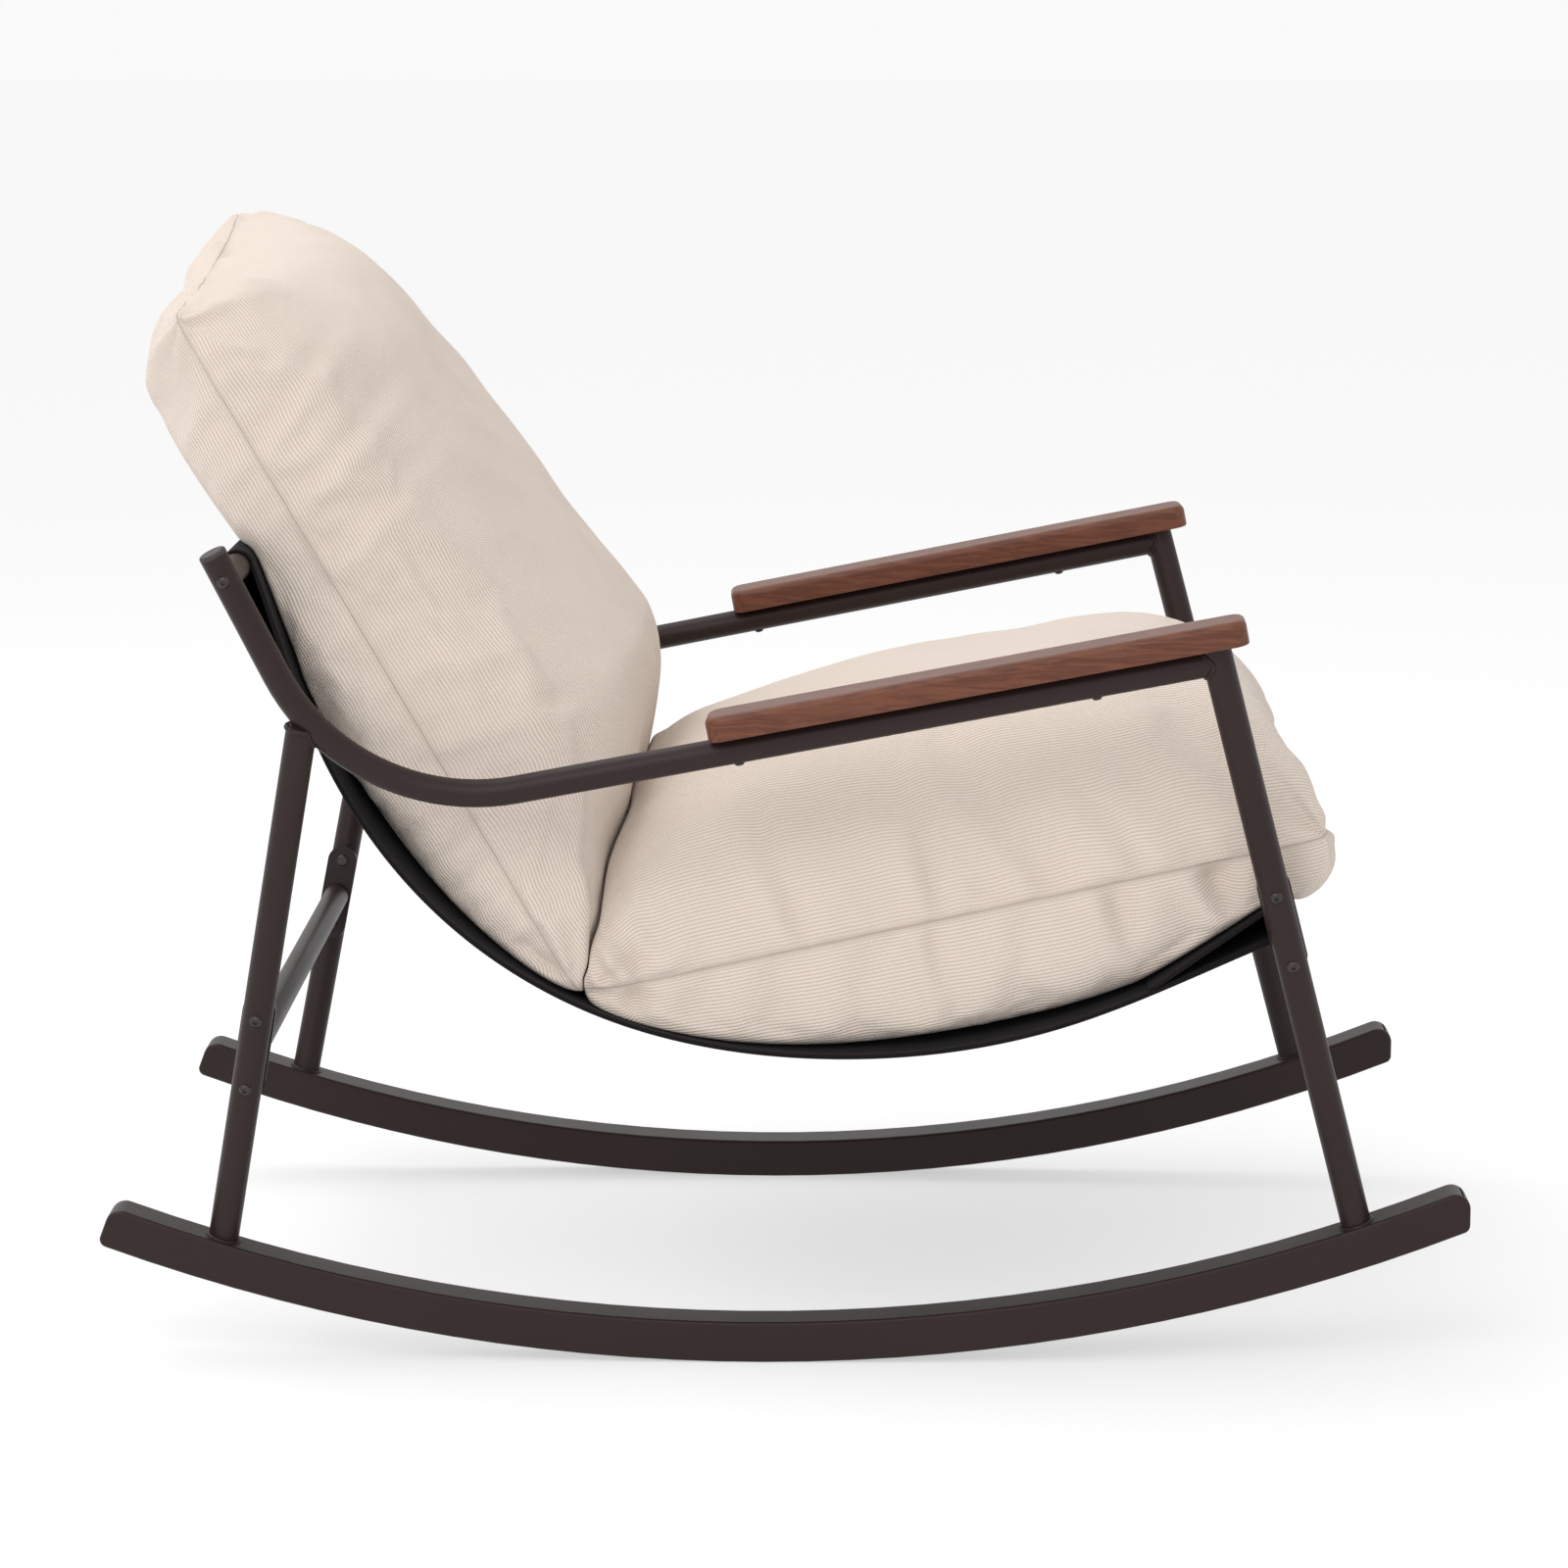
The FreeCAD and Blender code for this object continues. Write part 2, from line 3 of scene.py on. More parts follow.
import bpy
import numpy as np
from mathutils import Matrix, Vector


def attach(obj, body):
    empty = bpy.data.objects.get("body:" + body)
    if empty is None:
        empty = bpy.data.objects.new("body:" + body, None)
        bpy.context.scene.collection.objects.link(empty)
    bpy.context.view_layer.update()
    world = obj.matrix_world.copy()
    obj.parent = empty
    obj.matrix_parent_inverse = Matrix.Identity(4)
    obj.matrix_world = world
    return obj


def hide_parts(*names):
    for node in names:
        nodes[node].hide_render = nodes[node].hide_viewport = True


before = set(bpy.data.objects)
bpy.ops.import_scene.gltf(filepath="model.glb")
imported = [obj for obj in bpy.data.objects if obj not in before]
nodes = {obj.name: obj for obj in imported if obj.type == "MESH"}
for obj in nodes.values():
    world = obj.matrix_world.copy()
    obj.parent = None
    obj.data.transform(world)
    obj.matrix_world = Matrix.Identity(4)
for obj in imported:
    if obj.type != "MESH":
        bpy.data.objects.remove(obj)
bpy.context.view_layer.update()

# Viewpoint. The chair is seen square from its right side, from 3.7 m away and a little above
# the backrest, through a long lens. Its lowest line on the floor is z = 0.

camera = bpy.data.objects.new("camera", bpy.data.cameras.new("camera"))
camera.data.lens = 112.5
camera.data.sensor_width = 36.0
camera.location = (0.056, -3.722, 1.028)
camera.rotation_euler = (math.radians(80.08), 0.0, math.radians(0.91))
bpy.context.collection.objects.link(camera)
bpy.context.scene.camera = camera
bpy.context.scene.view_settings.view_transform = "Standard"

# Studio. A pale paper sweep in an evenly lit room, with one large softbox behind the chair
# and one on its near side. The sweep glows evenly too, so it lights the chair from below.


class Value:
    """A node socket that can be added, multiplied and compared in Python."""

    def __init__(self, wiring, socket):
        self.wiring = wiring
        self.socket = socket

    def _math(self, operation, *others):
        return self.wiring.node("ShaderNodeMath", {"operation": operation}, *others)

    def __add__(self, other):
        return self._math("ADD", self, other)

    def __radd__(self, other):
        return self._math("ADD", other, self)

    def __sub__(self, other):
        return self._math("SUBTRACT", self, other)

    def __rsub__(self, other):
        return self._math("SUBTRACT", other, self)

    def __mul__(self, other):
        return self._math("MULTIPLY", self, other)

    def __rmul__(self, other):
        return self._math("MULTIPLY", other, self)

    def __truediv__(self, other):
        return self._math("DIVIDE", self, other)

    def __pow__(self, other):
        return self._math("POWER", self, other)

    def sin(self):
        return self._math("SINE", self)

    def abs(self):
        return self._math("ABSOLUTE", self)

    def fract(self):
        return self._math("FRACT", self)

    def floor(self):
        return self._math("FLOOR", self)

    def above(self, edge):
        return self._math("GREATER_THAN", self, edge)

    def clamped(self):
        return self.wiring.node("ShaderNodeClamp", {}, self)


class Wiring:
    """A tree of nodes, and the one way in which a node is added to it."""

    def __init__(self, tree):
        self.tree = tree

    def node(self, kind, settings, *inputs, out=0, **named):
        """Adds a node: its settings first, then its sockets by place or by name."""
        made = self.tree.nodes.new(kind)
        for key, value in settings.items():
            setattr(made, key, value)
        pairs = [(made.inputs[i], x) for i, x in enumerate(inputs) if x is not None]
        pairs += [(made.inputs[k.replace("_", " ")], x) for k, x in named.items()]
        for socket, value in pairs:
            if isinstance(value, Value):
                self.tree.links.new(value.socket, socket)
            elif socket.type == "RGBA":
                socket.default_value = (*value, 1.0)
            else:
                socket.default_value = value
        return Value(self, made.outputs[out])


class Paint(Wiring):
    """One material, its shader and the nodes that feed it."""

    def __init__(self, name, color, roughness, **fixed):
        self.material = bpy.data.materials.new(name)
        self.material.use_nodes = True
        super().__init__(self.material.node_tree)
        self.shader = self.tree.nodes["Principled BSDF"]
        self.shader.inputs["Base Color"].default_value = (*color, 1.0)
        self.shader.inputs["Roughness"].default_value = roughness
        for socket, value in fixed.items():
            self.shader.inputs[socket.replace("_", " ")].default_value = value

    def place(self, turn=(0.0, 0.0, 0.0), scale=(1.0, 1.0, 1.0)):
        """Object coordinates in metres, turned and stretched."""
        here = self.node("ShaderNodeTexCoord", {}, out="Object")
        return self.node("ShaderNodeMapping", {}, here, Rotation=turn, Scale=scale)

    def fabric_uv(self):
        """The piece's own UV map in metres, across the cloth and along it."""
        here = self.node("ShaderNodeUVMap", {})
        return [self.node("ShaderNodeSeparateXYZ", {}, here, out=axis) for axis in "XY"]

    def noise(self, where, scale, detail, rough=0.5):
        settings = {"Scale": scale, "Detail": detail, "Roughness": rough}
        return self.node("ShaderNodeTexNoise", {}, Vector=where, **settings)

    def mix(self, factor, a, b):
        """Blends two colours, which are the node's seventh and eighth sockets."""
        skipped = (None,) * 5
        return self.node("ShaderNodeMix", {"data_type": "RGBA"}, factor, *skipped, a, b, out=2)

    def bump(self, height, distance, strength):
        return self.node("ShaderNodeBump", {}, Strength=strength, Distance=distance, Height=height)

    def wear(self, **links):
        """Feeds the shader's varying sockets."""
        for socket, value in links.items():
            self.tree.links.new(value.socket, self.shader.inputs[socket.replace("_", " ")])


world = bpy.data.worlds.new("studio")
bpy.context.scene.world = world
world.use_nodes = True
room = Wiring(world.node_tree)
camera_ray, glossy_ray, glass_ray = [
    room.node("ShaderNodeLightPath", {}, out="Is " + kind + " Ray")
    for kind in ("Camera", "Glossy", "Transmission")
]
seen = (camera_ray + glossy_ray + glass_ray).clamped()
room_light = room.node("ShaderNodeBackground", {}, (1.0, 0.992, 0.99), 0.80)
seen_wall = room.node("ShaderNodeBackground", {}, (0.955, 0.955, 0.955))
room_mix = room.node("ShaderNodeMixShader", {}, seen, room_light, seen_wall)
room.tree.links.new(room_mix.socket, room.tree.nodes["World Output"].inputs["Surface"])


def softbox(name, place, target, size, power):
    """A flat soft lamp that faces its target."""
    lamp = bpy.data.objects.new(name, bpy.data.lights.new(name, "AREA"))
    lamp.data.shape = "RECTANGLE"
    lamp.data.size, lamp.data.size_y = size
    lamp.data.energy = power
    lamp.location = place
    lamp.rotation_euler = (Vector(target) - Vector(place)).to_track_quat("-Z", "Y").to_euler()
    bpy.context.collection.objects.link(lamp)


softbox("rear_softbox", (-1.3, 0.6, 2.6), (-0.1, 0.0, 0.5), (2.2, 2.2), 30.0)
softbox("side_softbox", (-1.1, -3.1, 2.7), (0.0, 0.0, 0.4), (2.4, 2.4), 44.0)

FLOOR_REACH = 30.0
floor_paint = Paint(
    "white_sweep",
    (0.50, 0.50, 0.50),
    0.9,
    Specular_IOR_Level=0.0,
    Emission_Color=(1.0, 1.0, 1.0, 1.0),
    Emission_Strength=0.54,
)
floor_corners = [(x * FLOOR_REACH, y * FLOOR_REACH, 0.0) for x, y in ((-1, -1), (1, -1), (1, 1), (-1, 1))]
floor_mesh = bpy.data.meshes.new("floor")
floor_mesh.from_pydata(floor_corners, [], [(0, 1, 2, 3)])
floor_mesh.materials.append(floor_paint.material)
floor = bpy.data.objects.new("floor", floor_mesh)
bpy.context.collection.objects.link(floor)

# Side frames, rails and runners. Welded round steel tube on closed box-section rockers, all in
# one satin dark bronze powder coat, which shows a fine orange peel and rubs a little paler.

coat = Paint("bronze_powder_coat", (0.026, 0.015, 0.014), 0.42, Specular_IOR_Level=0.22)
grain = coat.noise(coat.place(), 1400.0, 2.0)
cloud = coat.noise(coat.place(), 9.0, 3.0)
rubbed = (cloud - 0.45).clamped()
coat.wear(
    Base_Color=coat.mix(rubbed * 0.5, (0.024, 0.0130, 0.0125), (0.042, 0.026, 0.024)),
    Roughness=0.36 + cloud * 0.12,
    Normal=coat.bump(grain, 0.00012, 0.35),
)
COATED = ("runner", "rear_leg", "front_leg", "arm_tube_left", "arm_tube_right")


def painted(name, paint):
    """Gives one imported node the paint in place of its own."""
    nodes[name].data.materials.clear()
    nodes[name].data.materials.append(paint.material)


for name in nodes:
    if name.startswith(COATED) or name.endswith("_rail") or "rail_plate" in name:
        painted(name, coat)

# Welds. A bead of rippled weld metal runs round every foot on its rocker, round each rear
# leg's top, which a low crown of weld closes, and round each arm tube at its front leg.

LEAN = 0.165
SLING_W, FRAME_CLEAR, FRONT_RAIL_Z = 0.580, 0.019285, 0.329
FOOT_HALF = SLING_W / 2 + FRAME_CLEAR - LEAN * FRONT_RAIL_Z
LEG_R, ARM_R = 0.011, 0.010
ROCK_R, ROCK_X, RUNNER_H = 1.370, -0.018, 0.030
BACK_TILT, ARM_SLOPE = math.radians(25.4), math.radians(10.95)
CORNER_X, CORNER_Z, BEND_R = -0.3026, 0.407, 0.151
ARM_TOP_Z, ARM_FRONT_X = 0.598, 0.3014
# Each leg's line: its x at the ground, how far it moves along x as it rises, and its top.
LEGS = {"rear": (-0.4232, 0.183, 0.474), "front": (0.443, -0.2636, 0.551)}
SHIN_Z = 0.13
BEAD, TOP_BEAD, CROWN_RISE = 0.0017, 0.0021, 0.0030


def on_frame(x, z, sign):
    """A point of one side frame, which leans outwards as it rises."""
    return np.array([x, sign * (FOOT_HALF + LEAN * z), z])


def arm_line(sign):
    """The arm tube's centre line as close points: straight back, one arc, straight arm."""
    corner = on_frame(CORNER_X, CORNER_Z, sign)
    top = on_frame(CORNER_X - math.tan(BACK_TILT) * (ARM_TOP_Z - CORNER_Z), ARM_TOP_Z, sign)
    front = on_frame(ARM_FRONT_X, CORNER_Z + math.tan(ARM_SLOPE) * (ARM_FRONT_X - CORNER_X), sign)
    up = (top - corner) / np.linalg.norm(top - corner)
    along = (front - corner) / np.linalg.norm(front - corner)
    half = (math.pi - math.acos(up @ along)) / 2
    hub = corner + (up + along) / np.linalg.norm(up + along) * BEND_R / math.cos(half)
    first = corner + up * BEND_R * math.tan(half) - hub
    last = corner + along * BEND_R * math.tan(half) - hub
    angle = np.linspace(0, 1, 90)[:, None]
    turned = np.sin((1 - angle) * 2 * half) * first + np.sin(angle * 2 * half) * last
    bend = hub + turned / math.sin(2 * half)
    straight = np.linspace(0, 1, 60)[:, None]
    return np.vstack([top + (bend[0] - top) * straight, bend, bend[-1] + (front - bend[-1]) * straight])


def ring_round(axis, radius, count=64):
    """Directions square to the axis, all the way round, times the radius."""
    side = np.cross(axis, (0.0, 1.0, 0.0))
    side /= np.linalg.norm(side)
    other = np.cross(axis, side)
    angle = np.linspace(0, 2 * np.pi, count, endpoint=False)[:, None]
    return radius * (np.cos(angle) * side + np.sin(angle) * other)


def first_touch(start, axis, rim, reach, touches):
    """How far each rim point slides along the axis until touches(point) is below zero."""
    steps = np.linspace(0.0, reach, 500)
    points = start + rim[:, None, :] + axis * steps[None, :, None]
    inside = touches(points) < 0
    return rim + start + axis * steps[np.where(inside.any(axis=1), inside.argmax(axis=1), -1)][:, None]


def weld(name, path, bead, rise=None):
    """A closed bead round the path; its radius ripples as bead (1 + 0.1 sin 22a).
    With rise it is flattened to that half height, to close a tube's end."""
    following = np.roll(path, -1, axis=0) - np.roll(path, 1, axis=0)
    following /= np.linalg.norm(following, axis=1, keepdims=True)
    outer = path - path.mean(axis=0)
    outer -= np.sum(outer * following, axis=1, keepdims=True) * following
    outer /= np.linalg.norm(outer, axis=1, keepdims=True)
    third = np.cross(following, outer)
    angle = np.linspace(0, 2 * np.pi, 10, endpoint=False)[None, :, None]
    turn = np.linspace(0, 2 * np.pi, len(path), endpoint=False)[:, None, None]
    ripple = 1 + 0.10 * np.sin(22 * turn)
    outward = bead * (ripple if rise is None else 1.0)
    upward = (rise or bead) * ripple
    points = path[:, None] + outward * np.cos(angle) * outer[:, None]
    points += upward * np.sin(angle) * third[:, None]
    made = grid_object(name, points, coat, wrap=(True, True))


def cell_corners(grid):
    """The four corners of every cell of a grid, in order round the cell."""
    return [grid[:-1, :-1], grid[1:, :-1], grid[1:, 1:], grid[:-1, 1:]]


def grid_object(name, points, paint, uv=None, wrap=(False, False)):
    """A mesh of four-sided faces over a grid of points, joined round where wrap says."""
    rows, columns = points.shape[:2]
    index = np.arange(rows * columns).reshape(rows, columns)
    if wrap[0]:
        index = np.vstack([index, index[:1]])
    if wrap[1]:
        index = np.hstack([index, index[:, :1]])
    corners = np.stack(cell_corners(index), axis=-1)
    mesh = bpy.data.meshes.new(name)
    mesh.from_pydata(points.reshape(-1, 3), [], corners.reshape(-1, 4).tolist())
    if uv is not None:
        layer = mesh.uv_layers.new(name="cloth")
        order = np.empty(len(mesh.loops), dtype=np.int32)
        mesh.loops.foreach_get("vertex_index", order)
        layer.data.foreach_set("uv", uv.reshape(-1, 2)[order].astype(np.float32).ravel())
    mesh.polygons.foreach_set("use_smooth", np.ones(len(mesh.polygons), dtype=bool))
    mesh.materials.append(paint.material)
    made = bpy.data.objects.new(name, mesh)
    bpy.context.collection.objects.link(made)
    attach(made, "root")
    return made


def off_runner(points):
    """Height over the rocker's upper side."""
    reach = np.sqrt((ROCK_R - RUNNER_H) ** 2 - (points[..., 0] - ROCK_X) ** 2)
    return points[..., 2] - (ROCK_R - reach)


for sign, hand in ((1, "left"), (-1, "right")):
    arm = arm_line(sign)

    def off_arm(points):
        gaps = np.stack([np.linalg.norm(points - spot, axis=-1) for spot in arm[::2]])
        return gaps.min(axis=0) - ARM_R

    for end, (foot_x, slope, top_z) in LEGS.items():
        top, low = (on_frame(foot_x + slope * z, z, sign) for z in (top_z, SHIN_Z))
        axis = (top - low) / np.linalg.norm(top - low)
        rim = first_touch(low, -axis, ring_round(axis, LEG_R + 0.0004), 0.07, off_runner)
        weld("weld_foot_" + end + "_" + hand, rim, BEAD)
        if end == "rear":
            rim = first_touch(top - axis * 0.06, axis, ring_round(axis, LEG_R - 0.0006), 0.0598, off_arm)
            weld("weld_top_rear_" + hand, rim, TOP_BEAD)
            rim = top - axis * 0.0006 + ring_round(axis, LEG_R / 2)
            weld("weld_crown_rear_" + hand, rim, LEG_R / 2, CROWN_RISE)
        else:
            towards = (arm[-1] - arm[-2]) / np.linalg.norm(arm[-1] - arm[-2])

            def off_leg(points):
                return np.linalg.norm(np.cross(points - top, axis), axis=-1) - LEG_R

            ring = ring_round(towards, ARM_R + 0.0002)
            rim = first_touch(arm[-1] - towards * 0.05, towards, ring, 0.05, off_leg)
            weld("weld_arm_front_" + hand, rim, BEAD)

# Bolts, screws and end plugs. Button-head bolts and dome screws blackened to match the coat,
# and a matt plastic plug pressed into each arm tube's open upper end.

steel = Paint("blackened_steel", (0.050, 0.042, 0.041), 0.32, Metallic=0.7)
scratch = steel.noise(steel.place(), 260.0, 4.0)
steel.wear(
    Base_Color=steel.mix(scratch * 0.5, (0.034, 0.027, 0.026), (0.110, 0.095, 0.090)),
    Roughness=0.28 + scratch * 0.16,
    Normal=steel.bump(scratch, 0.00005, 0.5),
)
plug = Paint("matt_plastic", (0.030, 0.024, 0.024), 0.55)
stipple = plug.noise(plug.place(), 900.0, 2.0)
plug.wear(
    Base_Color=plug.mix(stipple * 0.4, (0.028, 0.022, 0.022), (0.045, 0.036, 0.036)),
    Roughness=0.48 + stipple * 0.14,
    Normal=plug.bump(stipple, 0.0001, 0.4),
)
for name in nodes:
    if name.endswith("bolts") or "screws" in name or "rail_plug" in name:
        painted(name, steel)
    elif name.startswith("arm_tube_plug"):
        painted(name, plug)

# Armrests. Solid walnut boards with rounded ends and eased edges, oiled, their grain running
# along the arm with darker growth lines and short open pores.

walnut = Paint(
    "oiled_walnut",
    (0.150, 0.048, 0.024),
    0.45,
    Specular_IOR_Level=0.3,
    Coat_Weight=0.05,
    Coat_Roughness=0.25,
)


def grained(stretch):
    """Places along the sloping board, where every mark is drawn out by the stretch."""
    return walnut.place(turn=(0.0, ARM_SLOPE, 0.0), scale=(1.0, stretch, stretch))


growth = walnut.noise(grained(9.0), 7.0, 5.0, 0.55)
rings = ((growth * 46.0).sin() * 0.5 + 0.5) ** 1.6
streak = walnut.noise(grained(34.0), 16.0, 4.0, 0.6)
pores = (walnut.noise(grained(16.0), 120.0, 2.0) - 0.60).clamped() * 5.0
tone = walnut.mix(rings * 0.75, (0.165, 0.054, 0.026), (0.090, 0.026, 0.013))
tone = walnut.mix((streak - 0.35).clamped() * 1.1, tone, (0.085, 0.028, 0.016))
tone = walnut.mix(pores.clamped() * 0.8, tone, (0.045, 0.017, 0.011))
walnut.wear(
    Base_Color=tone,
    Roughness=0.36 + streak * 0.16,
    Normal=walnut.bump(1.0 - pores, 0.0002, 0.35),
)
for name in ("armrest_left", "armrest_right"):
    painted(name, walnut)

# Sling. One length of black canvas, hemmed along both sides, hung over the top rail and the
# front rail in sewn sleeves; between them it sags into the curve that carries the cushions.

RAIL_R = 0.010
CLOTH_T = 0.0015
SLEEVE_CLEAR = 0.0004
LOOP_R = RAIL_R + SLEEVE_CLEAR + CLOTH_T / 2
TOP_RAIL = np.array([-0.38589, 0.5824])
FRONT_RAIL = np.array([0.35628, FRONT_RAIL_Z])
SAG = np.array([(-0.327, 0.4485), (-0.250, 0.337), (-0.137, 0.2615), (0.033, 0.2285), (0.198, 0.251)])
FRONT_SEAM_X = 0.262
TOP_SEAM_Z = 0.505


def tangent_point(point, centre, radius, turn):
    """Where a line from point touches the circle, anticlockwise of its centre for turn 1."""
    gap = centre - point
    distance = np.hypot(*gap)
    angle = np.arctan2(gap[1], gap[0]) + turn * np.arcsin(radius / distance)
    reach = np.sqrt(distance**2 - radius**2)
    return point + reach * np.array([np.cos(angle), np.sin(angle)])


def smooth_line(points, steps):
    """A cubic spline through the points by chord length, straight on at both ends.
    Its slopes m solve m[i-1]/h + 2m[i](1/h + 1/k) + m[i+1]/k = 3(rise/h^2 + rise/k^2)."""
    chord = np.linalg.norm(np.diff(points, axis=0), axis=1)
    along = np.concatenate([[0.0], np.cumsum(chord)])
    count = len(points)
    system, right = np.eye(count), np.zeros((count, 2))
    right[0] = (points[1] - points[0]) / chord[0]
    right[-1] = (points[-1] - points[-2]) / chord[-1]
    for i in range(1, count - 1):
        h, k = chord[i - 1], chord[i]
        system[i, i - 1 : i + 2] = 1 / h, 2 / h + 2 / k, 1 / k
        right[i] = 3 * ((points[i] - points[i - 1]) / h**2 + (points[i + 1] - points[i]) / k**2)
    slope = np.linalg.solve(system, right)
    s = np.linspace(0.0, along[-1], steps)
    i = np.clip(np.searchsorted(along, s) - 1, 0, count - 2)
    u = ((s - along[i]) / chord[i])[:, None]
    h = chord[i][:, None]
    return (
        (1 + 2 * u) * (1 - u) ** 2 * points[i]
        + u * (1 - u) ** 2 * h * slope[i]
        + u**2 * (3 - 2 * u) * points[i + 1]
        + u**2 * (u - 1) * h * slope[i + 1]
    )


def arc_round(centre, radius, a, b, turn, steps=18):
    """Points on the circle from a to b, turning anticlockwise for turn 1."""
    first = np.arctan2(*(a - centre)[::-1])
    last = np.arctan2(*(b - centre)[::-1])
    while (last - first) * turn <= 0:
        last += 2 * np.pi * turn
    angle = np.linspace(first, last, steps)
    return centre + radius * np.stack([np.cos(angle), np.sin(angle)], axis=1)


def sheet_path():
    """The cloth's side-view line from the rear seam over both rails to the front seam."""
    start = tangent_point(SAG[0], TOP_RAIL, LOOP_R, -1)
    finish = tangent_point(SAG[-1], FRONT_RAIL, LOOP_R, -1)
    main = smooth_line(np.vstack([start, SAG, finish]), 230)
    slope = np.gradient(main, axis=0)
    normal = np.stack([-slope[:, 1], slope[:, 0]], axis=1) / np.linalg.norm(slope, axis=1)[:, None]
    rear = np.argmin(abs(main[:60, 1] - TOP_SEAM_Z))
    front = np.argmin(abs(main[:, 0] - FRONT_SEAM_X))
    rear_seam = main[rear] - normal[rear] * CLOTH_T
    front_seam = main[front] + normal[front] * CLOTH_T
    over_top = arc_round(TOP_RAIL, LOOP_R, tangent_point(rear_seam, TOP_RAIL, LOOP_R, 1), start, -1)
    leaves_front = tangent_point(front_seam, FRONT_RAIL, LOOP_R, 1)
    round_front = arc_round(FRONT_RAIL, LOOP_R, finish, leaves_front, 1)
    rear_run = rear_seam + (over_top[0] - rear_seam) * np.linspace(0, 1, 16)[:-1, None]
    front_run = round_front[-1] + (front_seam - round_front[-1]) * np.linspace(0, 1, 24)[1:, None]
    return np.vstack([rear_run, over_top[:-1], main, round_front[1:], front_run]), main, normal


canvas = Paint(
    "black_canvas",
    (0.007, 0.005, 0.006),
    0.88,
    Sheen_Weight=0.04,
    Sheen_Roughness=0.5,
    Specular_IOR_Level=0.15,
)
HEM_STITCH_Y = 0.2805
across, along = canvas.fabric_uv()
threads = (across * 4400.0).sin() * (along * 4400.0).sin()
slub = canvas.noise(canvas.place(), 60.0, 4.0)
edge = (across.abs() - HEM_STITCH_Y).abs()
row = (1.0 - edge * 1600.0).clamped() * (along * 300.0).fract().above(0.35)
thread_tone = canvas.mix(slub * 0.6, (0.0055, 0.0040, 0.0048), (0.012, 0.009, 0.010))
canvas.wear(
    Base_Color=canvas.mix(row * 0.7, thread_tone, (0.030, 0.025, 0.026)),
    Roughness=0.80 + slub * 0.15,
    Normal=canvas.bump(threads * 0.5 + slub + row * 1.5, 0.0003, 0.6),
)

line, main_line, main_normal = sheet_path()
side = np.linspace(-SLING_W / 2, SLING_W / 2, 59)
length = np.concatenate([[0.0], np.cumsum(np.linalg.norm(np.diff(line, axis=0), axis=1))])
points = np.empty((len(line), len(side), 3))
points[..., 0], points[..., 2] = line[:, :1], line[:, 1:]
points[..., 1] = side
uv = np.stack(np.broadcast_arrays(side[None, :], length[:, None]), axis=-1)
sling = grid_object("sling_sheet", points, canvas, uv)
skin = sling.modifiers.new("cloth thickness", "SOLIDIFY")
skin.thickness = CLOTH_T
skin.offset = 0.0
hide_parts("sling")

HEM_W, HEM_T, HEM_OUT = 0.011, 0.0034, 0.0012
turn = np.linspace(0, 2 * np.pi, 13)[:-1]
flat_round = HEM_W / 2 * np.sign(np.cos(turn)) * abs(np.cos(turn)) ** 0.5
over = HEM_T / 2 * np.sign(np.sin(turn)) * abs(np.sin(turn)) ** 0.6
run = np.concatenate([[0.0], np.cumsum(np.linalg.norm(np.diff(main_line, axis=0), axis=1))])
for sign, label in ((1, "left"), (-1, "right")):
    around = sign * (SLING_W / 2 - HEM_W / 2 + HEM_OUT) + flat_round
    ring = np.empty((len(main_line), len(turn), 3))
    ring[..., 0] = main_line[:, :1] + main_normal[:, :1] * over
    ring[..., 2] = main_line[:, 1:] + main_normal[:, 1:] * over
    ring[..., 1] = around
    hem_uv = np.stack(np.broadcast_arrays(around[None, :], run[:, None]), axis=-1)
    hem = grid_object("sling_hem_" + label, ring, canvas, hem_uv, wrap=(False, True))

# Cushions. Two loose covers of ribbed linen weave, each of two panels sewn in one seam all
# round and stuffed with soft fibre, so they crown in the middle and pucker along the seam.

CUSHION_W = 0.570
SEAT_SEAM = ((-0.150, 0.272), (0.394, 0.390))
SEAT_CROWN, SEAT_BELLY = 0.138, 0.108
BACK_SEAM = ((-0.141, 0.262), (-0.442, 0.783))
BACK_CROWN, BACK_BELLY = 0.156, 0.090
BACK_SLUMP = 0.024
BED_GAP, CUSHION_GAP = 0.0008, 0.0012
BED_ROUND, LOOSE_FROM, SETTLE_LIMIT = 0.024, 0.014, 0.006
ROWS, COLUMNS = 104, 118
RIB = 0.0028


def dome(t, power):
    """0 at both ends of 0 to 1 and 1 in the middle: (1 - |2t-1|^power)^(1/power)."""
    return np.maximum(1 - abs(2 * t - 1) ** power, 0.0) ** (1 / power)


def seat_rise(t, v):
    """The seat's crown over its seam."""
    return SEAT_CROWN * dome(t, 3.5) * dome((1 + v) / 2, 2.6)


def seat_fall(t, v):
    """The seat's belly under its seam, shallower towards the nose."""
    nose = 1 - 0.45 * np.maximum(0.0, (t - 0.6) / 0.4) ** 2
    return SEAT_BELLY * dome(t, 4.0) * nose * dome((1 + v) / 2, 6.0)


def back_rise(t, v):
    """Drawn in at the seat, fullest at a third of its length, blunt on top."""
    lower = 1 - np.maximum(0.0, 1 - t / 0.32) ** 1.6
    upper = np.maximum(1 - np.maximum(0.0, (t - 0.78) / 0.22) ** 2.8, 0.0) ** (1 / 2.8)
    thinning = 1 - 0.48 * np.maximum(0.0, t - 0.32)
    return BACK_CROWN * lower * upper * thinning * dome((1 + v) / 2, 2.6)


def back_fall(t, v):
    """The back cushion's belly, which the sling carries."""
    return BACK_BELLY * dome(t, 2.7) * dome((1 + v) / 2, 3.0)


